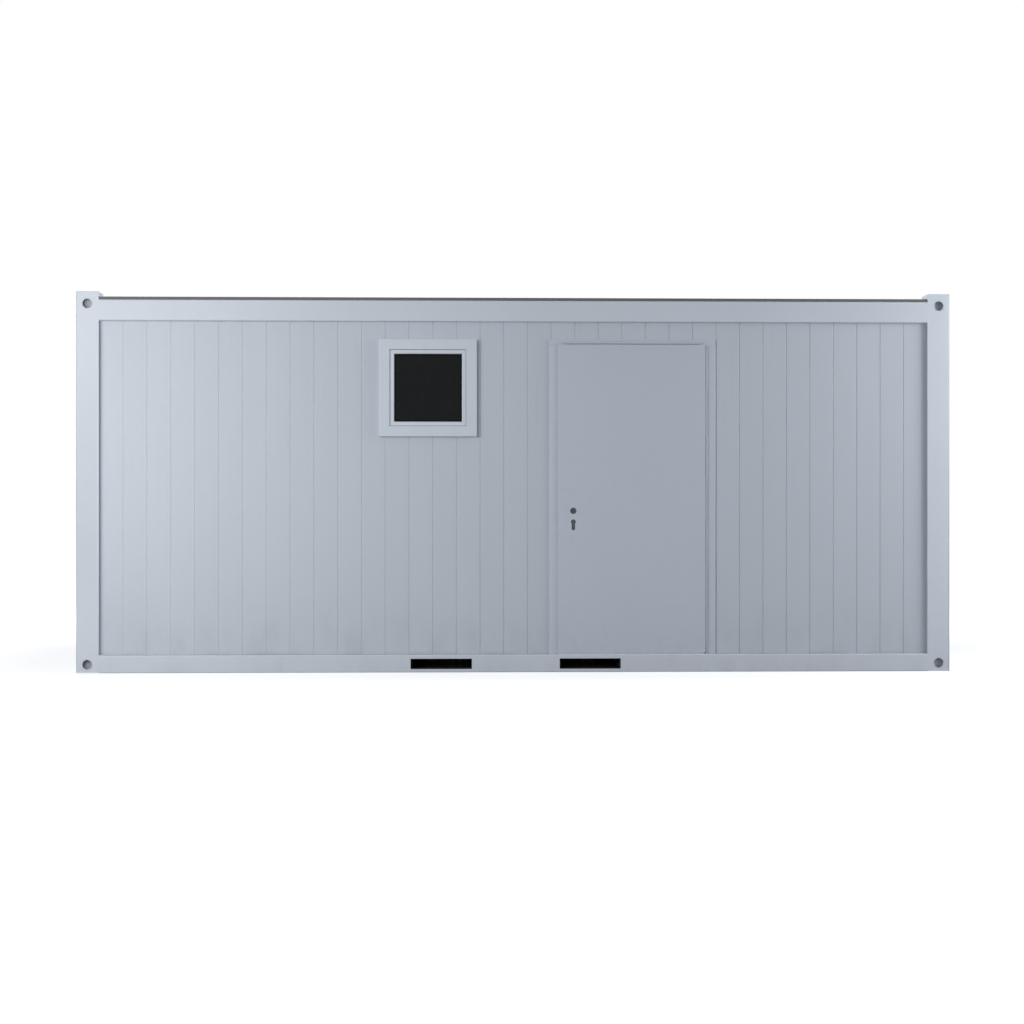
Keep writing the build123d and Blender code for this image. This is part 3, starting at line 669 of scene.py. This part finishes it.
def start(name, add, scale=(1, 1, 1), **settings):
    """Adds one primitive with nothing else selected, names it and opens it in edit mode."""
    bpy.ops.object.select_all(action="DESELECT")
    add(**settings)
    piece = bpy.context.object
    piece.name = piece.data.name = name
    piece.scale = scale
    bpy.ops.object.transform_apply(location=True, rotation=True, scale=True)
    bpy.ops.object.mode_set(mode="EDIT")
    return piece


def pick(piece, kind, test):
    """Selects the faces or edges of the piece in edit mode whose middle passes the test."""
    bpy.ops.mesh.select_mode(type=kind)
    bpy.ops.mesh.select_all(action="DESELECT")
    shape = bmesh.from_edit_mesh(piece.data)
    for part in shape.faces if kind == "FACE" else shape.edges:
        middle = sum((corner.co for corner in part.verts), Vector()) / len(part.verts)
        part.select_set(bool(test(middle)))
    bmesh.update_edit_mesh(piece.data)


def extrude(step):
    bpy.ops.mesh.extrude_region_move(TRANSFORM_OT_translate={"value": step})


def settle(piece, body, finish):
    """Leaves edit mode with the faces outwards, then gives the piece its finish and its body."""
    if piece.mode == "EDIT":
        bpy.ops.mesh.select_all(action="SELECT")
        bpy.ops.mesh.normals_make_consistent(inside=False)
        bpy.ops.object.mode_set(mode="OBJECT")
    bpy.ops.object.shade_smooth_by_angle(angle=radians(SMOOTH_ANGLE))
    piece.data.materials.clear()
    piece.data.materials.append(finish)
    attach(piece, body)
    print(piece.name, "has", len(piece.data.polygons), "faces and rides on the", body)


print("ready to model")

# %% [markdown]
# ## Rubber round the pane and in the door rebate
#
# A black gasket holds the pane in the sash, a thin grey seal lies round the sash, and a soft strip
# on the door stop takes the closed leaf. The seal's grey is also painted shade along the sash's
# edge.
# All three are flat rings. A ring could be swept along a path, but a plane that is inset, opened
# and extruded gives the same mitred corners in three moves, and a bevel rounds its front edges.

# %% Rubber rings
def rubber_ring(name, low, high, back, width, thick, soft):
    """A ring that looks to the front, between two corners given as X and Z."""
    wide, tall = high[0] - low[0], high[1] - low[1]
    middle = ((low[0] + high[0]) / 2, back, (low[1] + high[1]) / 2)
    ring = start(name, bpy.ops.mesh.primitive_plane_add, size=1, location=middle,
                 rotation=(radians(90), 0, 0), scale=(wide, tall, 1))
    bpy.ops.mesh.select_all(action="SELECT")
    bpy.ops.mesh.inset(thickness=width, depth=0)
    bpy.ops.mesh.delete(type="FACE")
    bpy.ops.mesh.select_all(action="SELECT")
    extrude((0, -thick, 0))
    pick(ring, "EDGE", lambda middle: middle.y < back - thick * 0.99)
    bpy.ops.mesh.bevel(offset=soft, segments=3, affect="EDGES")
    return ring


pane_low, pane_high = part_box("window_pane")
gasket = rubber_ring("window_gasket", (pane_low.x, pane_low.z), (pane_high.x, pane_high.z),
                     pane_low.y, width=0.011, thick=0.004, soft=0.0015)
settle(gasket, "cabin", black_rubber)
sash_low, sash_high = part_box("window_sash")
# The seal's grey is also painted shade round the sash.
sash_seal = rubber_ring("sash_seal", (sash_low.x, sash_low.z), (sash_high.x, sash_high.z),
                        sash_low.y + 0.0005, width=0.0035, thick=0.002, soft=0.0006)
settle(sash_seal, "cabin", grey_rubber)

_, latch_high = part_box("door_left_jamb")
hinge_low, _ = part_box("door_right_jamb")
head_low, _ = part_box("door_head")
sill_low, sill_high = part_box("door_sill")
leaf_low, leaf_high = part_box("door_leaf")
STOP_WIDTH, STOP_GAP = 0.020, 0.005
STRIP, STRIP_FOOT = 0.009, 0.0125
STOP_FACE = leaf_high.y + STOP_GAP
REBATE_LEFT, REBATE_RIGHT = latch_high.x - STOP_WIDTH, hinge_low.x + STOP_WIDTH
strip_side = (STOP_WIDTH - STRIP) / 2
door_strip = rubber_ring("door_strip", (REBATE_LEFT + strip_side, sill_high.z - STRIP_FOOT),
                         (REBATE_RIGHT - strip_side, head_low.z + STOP_WIDTH - strip_side),
                         STOP_FACE, width=STRIP, thick=0.0046, soft=0.002)
settle(door_strip, "cabin", black_rubber)

# %% [markdown]
# ## Soft strip at the door's foot
#
# No dark line shows under the closed leaf, so something closes the gap above the rail. Here a pale
# rubber strip hangs from the leaf, in front of the sill's edge and just clear of the rail. It could
# be slid into a groove; a long cube with its lower edges rounded is enough for what shows.

# %% Door sweep
SWEEP_DEPTH, SWEEP_CLEAR, SWEEP_SETBACK, SWEEP_ROOT = 0.007, 0.001, 0.001, 0.001
LATCH_MARGIN, HINGE_MARGIN = 0.004, 0.009
sweep_base, sweep_top = sill_low.z + SWEEP_CLEAR, leaf_low.z + SWEEP_ROOT
sweep_left, sweep_right = leaf_low.x + LATCH_MARGIN, leaf_high.x - HINGE_MARGIN
sweep_y = leaf_low.y + SWEEP_SETBACK + SWEEP_DEPTH / 2
sweep_middle = ((sweep_left + sweep_right) / 2, sweep_y, (sweep_base + sweep_top) / 2)
door_sweep = start("door_sweep", bpy.ops.mesh.primitive_cube_add, size=1, location=sweep_middle,
                   scale=(sweep_right - sweep_left, SWEEP_DEPTH, sweep_top - sweep_base))
pick(door_sweep, "EDGE", lambda middle: middle.z < sweep_base + 0.0005)
bpy.ops.mesh.bevel(offset=0.0012, segments=3, affect="EDGES")
settle(door_sweep, "door", pale_rubber)

# %% [markdown]
# ## Keep plate
#
# The lock shuts into a keep plate on the jamb, with one opening for the latch and one for the bolt.
# It shows only when the door is open. The holes could be cut with a boolean; a plane that is
# bisected along the edges of its openings stays cleaner: those faces go, and the rest is extruded.

# %% Keep plate
KEEP_OPENINGS = ((0.998, 1.046), (1.086, 1.126))
KEEP_TALL, KEEP_WIDE, KEEP_THICK, KEEP_MARGIN = 0.24, 0.026, 0.001, 0.005
KEEP_SIDES = (lock_low.y + KEEP_MARGIN, lock_high.y - KEEP_MARGIN)
lock_y = (lock_low.y + lock_high.y) / 2
keep_middle = (REBATE_LEFT, lock_y, (lock_low.z + lock_high.z) / 2)
keep_plate = start("keep_plate", bpy.ops.mesh.primitive_plane_add, size=1, location=keep_middle,
                   rotation=(0, radians(90), 0), scale=(KEEP_TALL, KEEP_WIDE, 1))
for height in [edge for opening in KEEP_OPENINGS for edge in opening]:
    bpy.ops.mesh.select_all(action="SELECT")
    bpy.ops.mesh.bisect(plane_co=(0, 0, height), plane_no=(0, 0, 1))
for side in KEEP_SIDES:
    bpy.ops.mesh.select_all(action="SELECT")
    bpy.ops.mesh.bisect(plane_co=(0, side, 0), plane_no=(0, 1, 0))
pick(keep_plate, "FACE", lambda middle: KEEP_SIDES[0] < middle.y < KEEP_SIDES[1]
     and any(low < middle.z < high for low, high in KEEP_OPENINGS))
bpy.ops.mesh.delete(type="FACE")
bpy.ops.mesh.select_all(action="SELECT")
extrude((KEEP_THICK, 0, 0))
settle(keep_plate, "cabin", hinge_zinc)

# %% [markdown]
# ## Latch and bolt
#
# The lock's case shows only as a plate in the edge of the leaf. Its latch and its bolt stand a hair
# proud of that plate, facing the openings of the keep. Both are one small bar: a cube whose end is
# bevelled, and for the latch the front edge is pushed back, because that slant lets the door slam.

# %% Latch and bolt
TONGUE_LONG, TONGUE_OUT, TONGUE_PLAY, TONGUE_SIDE_PLAY = 0.0018, 0.0006, 0.004, 0.002
LATCH_SLANT = 0.006


def tongue(name, opening, slant):
    """A metal tongue that stands out of the lock plate, its front edge cut back by slant."""
    low, high = opening[0] + TONGUE_PLAY, opening[1] - TONGUE_PLAY
    deep = KEEP_SIDES[1] - KEEP_SIDES[0] - TONGUE_SIDE_PLAY
    place = (lock_low.x - TONGUE_OUT, lock_y, (low + high) / 2)
    near_end = place[0] - 0.0005
    bar = start(name, bpy.ops.mesh.primitive_cube_add, size=1, location=place,
                scale=(TONGUE_LONG, deep, high - low))
    pick(bar, "EDGE", lambda middle: middle.x < near_end and middle.y < lock_y - deep * 0.4)
    bpy.ops.transform.translate(value=(0, slant, 0))
    pick(bar, "EDGE", lambda middle: middle.x < near_end)
    bpy.ops.mesh.bevel(offset=0.0005, segments=2, affect="EDGES")
    settle(bar, "door", hinge_zinc)


tongue("lock_bolt", KEEP_OPENINGS[0], 0.0)
tongue("lock_latch", KEEP_OPENINGS[1], LATCH_SLANT)

# %% [markdown]
# ## Screws
#
# The hinge, the lock and the keep plate are held by countersunk screws, of which only a low head
# with a socket shows. One head is modelled: a short cylinder whose outer face is bevelled and then
# inset downwards for the socket. The others are copies with their own meshes, joined to it.

# %% Screw heads
HEAD_RADIUS, HEAD_THICK, HEAD_OUT, SOCKET_RIM, SOCKET_DEPTH = 0.0045, 0.001, 0.0003, 0.0022, 0.0005


def row_of_copies(piece, steps):
    """Copies the piece by each step and joins the copies to it."""
    bpy.ops.object.mode_set(mode="OBJECT")
    made = [piece]
    for step in steps:
        bpy.ops.object.select_all(action="DESELECT")
        piece.select_set(True)
        bpy.context.view_layer.objects.active = piece
        bpy.ops.object.duplicate(linked=False)
        bpy.ops.transform.translate(value=step)
        bpy.ops.object.transform_apply(location=True, rotation=False, scale=False)
        made.append(bpy.context.object)
    for one in made:
        one.select_set(True)
    bpy.context.view_layer.objects.active = piece
    bpy.ops.object.join()


def screws(name, first, side, steps, body):
    """Heads that look to the left (side -1) or the right (side 1), the first one at a place."""
    def outer_face(middle):
        return side * (middle.x - first[0]) > HEAD_OUT + HEAD_THICK * 0.45

    place = (first[0] + side * HEAD_OUT, first[1], first[2])
    head = start(name, bpy.ops.mesh.primitive_cylinder_add, vertices=12, radius=HEAD_RADIUS,
                 depth=HEAD_THICK, location=place, rotation=(0, radians(90), 0))
    pick(head, "FACE", outer_face)
    bpy.ops.mesh.bevel(offset=0.0003, segments=1, affect="EDGES")
    pick(head, "FACE", outer_face)
    bpy.ops.mesh.inset(thickness=SOCKET_RIM, depth=-SOCKET_DEPTH)
    row_of_copies(head, steps)
    settle(head, body, hinge_zinc)


plate_low, plate_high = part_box("hinge_frame_plate")
wing_low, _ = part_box("hinge_door_plate")
HINGE_PLATE, HINGE_SCREWS = 0.002, 14
SCREW_MARGIN, SCREW_INSET = 0.06, 0.018
LOCK_SCREW, LOCK_SCREW_GAP = 0.014, 0.222
KEEP_SCREW, KEEP_SCREW_GAP = 0.019, 0.212
lowest = plate_low.z + SCREW_MARGIN
screw_gap = (plate_high.z - SCREW_MARGIN - lowest) / (HINGE_SCREWS - 1)
up_the_hinge = [(0, 0, screw_gap * number) for number in range(1, HINGE_SCREWS)]
screw_y = plate_high.y - SCREW_INSET
frame_face, door_face = plate_high.x - HINGE_PLATE, wing_low.x + HINGE_PLATE
screws("hinge_frame_screws", (frame_face, screw_y, lowest), -1, up_the_hinge, "cabin")
screws("hinge_door_screws", (door_face, screw_y, lowest), 1, up_the_hinge, "door")
screws("lock_screws", (lock_low.x, lock_y, lock_low.z + LOCK_SCREW), -1,
       [(0, 0, LOCK_SCREW_GAP)], "door")
screws("keep_screws", (REBATE_LEFT + KEEP_THICK, lock_y, lock_low.z + KEEP_SCREW), 1,
       [(0, 0, KEEP_SCREW_GAP)], "cabin")

# %% [markdown]
# ## Hinge caps
#
# A small cap closes each end of the hinge, so that no rain runs down the pin. It is as thick as the
# knuckles: a cylinder whose outer rim is bevelled, made once for the top and once for the foot.

# %% Hinge caps
pin_low, pin_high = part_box("hinge_pin")
BARREL, CAP_GAP, CAP_UNDER_HEAD, CAP_OVER_SILL = 0.0065, 0.0002, 0.0006, 0.0036
cap_x, cap_y = (pin_low.x + pin_high.x) / 2, (pin_low.y + pin_high.y) / 2


def hinge_cap(name, low, high, outer):
    """A cap between two heights; outer is the height of its bevelled end."""
    cap = start(name, bpy.ops.mesh.primitive_cylinder_add, vertices=24, radius=BARREL,
                depth=high - low, location=(cap_x, cap_y, (low + high) / 2))
    pick(cap, "FACE", lambda middle: abs(middle.z - outer) < 0.0001)
    bpy.ops.mesh.bevel(offset=0.0012, segments=3, affect="EDGES")
    settle(cap, "cabin", shaded_hinge_paint)


cap_top, cap_foot = head_low.z + STOP_WIDTH - CAP_UNDER_HEAD, sill_low.z + CAP_OVER_SILL
hinge_cap("hinge_cap_top", plate_high.z + CAP_GAP, cap_top, cap_top)
hinge_cap("hinge_cap_foot", cap_foot, plate_low.z - CAP_GAP, cap_foot)

# %% [markdown]
# ## Sill ribs
#
# An aluminium sill is drawn with low ribs that keep shoes from slipping; they show when the door
# stands open. An array modifier could repeat a rib, but the row of copies used for the screws is at
# hand: one rib is a long cube with its upper edges bevelled, copied six times.

# %% Sill ribs
RIBS, RIB_STEP, RIB_WIDE, RIB_HIGH = 7, 0.0055, 0.0026, 0.0014
RIB_LIFT, RIB_FIRST, RIB_MARGIN = 0.0033, 0.006, 0.01
rib_place = ((sill_low.x + sill_high.x) / 2, sill_low.y + RIB_FIRST, sill_low.z + RIB_LIFT)
sill_ribs = start("sill_ribs", bpy.ops.mesh.primitive_cube_add, size=1, location=rib_place,
                  scale=(sill_high.x - sill_low.x - RIB_MARGIN, RIB_WIDE, RIB_HIGH))
pick(sill_ribs, "EDGE", lambda middle: middle.z > rib_place[2] + 0.0005)
bpy.ops.mesh.bevel(offset=0.0005, segments=2, affect="EDGES")
row_of_copies(sill_ribs, [(0, RIB_STEP * number, 0) for number in range(1, RIBS)])
settle(sill_ribs, "cabin", sill_aluminium)

# %% [markdown]
# ## Roof screws
#
# The roof sheet is screwed down along both eaves with hexagon heads on washers. A washer and a head
# are two cylinders, of sixteen sides and of six, with their upper rims bevelled. They are joined
# first, so that one row of copies carries both.

# %% Roof screws
roof_low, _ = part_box("roof_sheet")
run_low, run_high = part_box("front_top_rail")
SHEET, ROOF_SCREWS, ROW_MARGIN, EAVE_INSET = 0.003, 20, 0.12, 0.034
WASHER_RADIUS, WASHER_THICK, WASHER_LIFT, WASHER_TOP = 0.008, 0.0022, 0.0009, 0.0019
HEX_RADIUS, HEX_TALL, HEX_LIFT, HEX_TOP = 0.0052, 0.005, 0.0024, 0.0045
screw_x = run_low.x + ROW_MARGIN
screw_step = (run_high.x - run_low.x - 2 * ROW_MARGIN) / (ROOF_SCREWS - 1)
eave = roof_low.y + EAVE_INSET
sheet_top = roof_low.z + SHEET
top = sheet_top + WASHER_TOP
washer = start("roof_screws", bpy.ops.mesh.primitive_cylinder_add, vertices=16,
               radius=WASHER_RADIUS, depth=WASHER_THICK,
               location=(screw_x, eave, sheet_top + WASHER_LIFT))
pick(washer, "FACE", lambda middle: middle.z > top)
bpy.ops.mesh.bevel(offset=0.0006, segments=2, affect="EDGES")
bpy.ops.object.mode_set(mode="OBJECT")
hexagon = start("roof_screw_head", bpy.ops.mesh.primitive_cylinder_add, vertices=6,
                radius=HEX_RADIUS, depth=HEX_TALL, location=(screw_x, eave, top + HEX_LIFT))
pick(hexagon, "FACE", lambda middle: middle.z > top + HEX_TOP)
bpy.ops.mesh.bevel(offset=0.0008, segments=2, affect="EDGES")
bpy.ops.object.mode_set(mode="OBJECT")
washer.select_set(True)
bpy.context.view_layer.objects.active = washer
bpy.ops.object.join()
along_roof = [(screw_step * number, 0, 0) for number in range(ROOF_SCREWS)]
to_back = -2 * eave
row_of_copies(washer, along_roof[1:] + [(step, to_back, 0) for step, _, _ in along_roof])
settle(washer, "cabin", hinge_zinc)

# %% [markdown]
# ## Studio floor
#
# The cabin stands on a plain pale floor. To the camera it comes out white, while it throws less
# light on the cabin, so a Light Path node tells the camera's rays from the others. The floor glows
# a little less close to the cabin, because a shadow that falls on pure white can't be seen.

# %% Studio floor
FLOOR_SIZE, FLOOR_DROP = 120, 0.001
bpy.ops.object.select_all(action="DESELECT")
bpy.ops.mesh.primitive_plane_add(size=FLOOR_SIZE, location=(0, 0, -FLOOR_DROP))
floor = bpy.context.object
floor.name = "studio_floor"


def background_ray(wire):
    """1 where a ray comes from the camera, or from a mirror or glass that shows the background."""
    path = wire.node("LightPath", (), ()).socket.node
    kinds = ("Camera", "Glossy", "Transmission")
    seen = [Wire(wire.tree, path.outputs[f"Is {kind} Ray"]) for kind in kinds]
    return wire.math("MAXIMUM", wire.math("MAXIMUM", seen[0], seen[1]), seen[2])


DULL_PAPER, PALE_PAPER = (0.25, 0.25, 0.25, 1.0), (0.55, 0.55, 0.55, 1.0)
NEAR_GLOW, FAR_GLOW = 0.58, 0.87
SHADOW_START, SHADOW_END = 0.2, 2.4
paper, paper_shader, paper_place = new_finish("studio_floor", DULL_PAPER, 0.9, specular=0.0)
dull = Wire(paper.node_tree, paper_shader.outputs[0])
pale = dull.node("BsdfDiffuse", (), {"Color": PALE_PAPER})
glows = [dull.node("Emission", (), {"Strength": strength}) for strength in (NEAR_GLOW, FAR_GLOW)]
near, far = [dull.node("AddShader", (), {0: pale, 1: glow}) for glow in glows]
x, y, _ = paper_place.parts()
aside, ahead = [side.math("MAXIMUM", side, 0.0) for side in (abs(x) - END_X, abs(y) - FRONT_Y)]
away = aside * aside + ahead * ahead
outwards = away.math("SQRT", away).fade(SHADOW_START, SHADOW_END)
bright = dull.node("MixShader", (), {0: outwards, 1: near, 2: far})
surface = dull.node("MixShader", (), {0: background_ray(dull), 1: dull, 2: bright})
paper_output = paper.node_tree.nodes["Material Output"]
paper.node_tree.links.new(surface.socket, paper_output.inputs["Surface"])
floor.data.materials.append(paper)
print("floor glows", NEAR_GLOW, "near the cabin and", FAR_GLOW, "further away")

# %% [markdown]
# ## Sky
#
# Round everything is a white sky. As with the floor, only the camera, mirrors and glass see it
# white, and the cabin gets a weaker, bluish light from it, as on an overcast day.

# %% Sky
SKY_COLOR, SKY_LIGHT = (0.81, 0.892, 1.0, 1.0), 0.37
sky = bpy.data.worlds.new("studio_sky")
sky.use_nodes = True
bpy.context.scene.world = sky
dome = sky.node_tree.nodes["Background"]
dome.inputs["Color"].default_value = SKY_COLOR
dome.inputs["Strength"].default_value = SKY_LIGHT
dome_light = Wire(sky.node_tree, dome.outputs[0])
white = dome_light.node("Background", (), {"Color": (1, 1, 1, 1), "Strength": 1.0})
blend = dome_light.node("MixShader", (), {0: background_ray(dome_light), 1: dome_light, 2: white})
sky.node_tree.links.new(blend.socket, sky.node_tree.nodes["World Output"].inputs["Surface"])
print("sky light", SKY_LIGHT)

# %% [markdown]
# ## Lamps
#
# Four soft lamps stand round the cabin. The key lamp, at the front left, gives the short shadows to
# the right of the left post and of the window, which painted shadow on the wall makes deeper. A
# square one at the right end lifts the right post, one above brightens the roof, and one behind
# lights the back and the left end. A large lamp has soft shadows, so each is a rectangle of a few
# metres, hidden from the camera.

# %% Lamps
def lamp(name, place, aim, wide, tall, power, color):
    """A soft rectangular lamp that looks at a point."""
    turn = (Vector(aim) - Vector(place)).to_track_quat("-Z", "Y").to_euler()
    bpy.ops.object.light_add(type="AREA", location=place, rotation=turn)
    made = bpy.context.object
    made.name = name
    made.data.shape = "RECTANGLE"
    made.data.size, made.data.size_y = wide, tall
    made.data.energy = power
    made.data.color = color
    made.visible_camera = False
    return made


TOP_POWER, BACK_POWER, WHITE = 210, 190, (1.0, 1.0, 1.0)
KEY_POWER, KEY_COLOR = 216, (1.0, 0.996, 0.976)
FILL_POWER, FILL_COLOR = 136, (0.988, 1.0, 0.988)
lamps = [
    lamp("key_lamp", (-4.5, -5.5, 2.2), (-1.4, -1.2, 1.0), 5.0, 2.6, KEY_POWER, KEY_COLOR),
    lamp("top_lamp", (0.0, 0.4, 7.0), (0.0, 0.0, 2.5), 3.0, 1.6, TOP_POWER, WHITE),
    lamp("back_lamp", (-6.0, 6.0, 2.6), (-1.0, 1.2, 1.2), 5.0, 2.6, BACK_POWER, WHITE),
    lamp("fill_lamp", (5.5, -2.4, 2.6), (3.0, -1.2, 1.6), 2.4, 2.4, FILL_POWER, FILL_COLOR),
]
bpy.context.scene.view_settings.view_transform = "Standard"
print("lamps:", {made.name: made.data.energy for made in lamps})
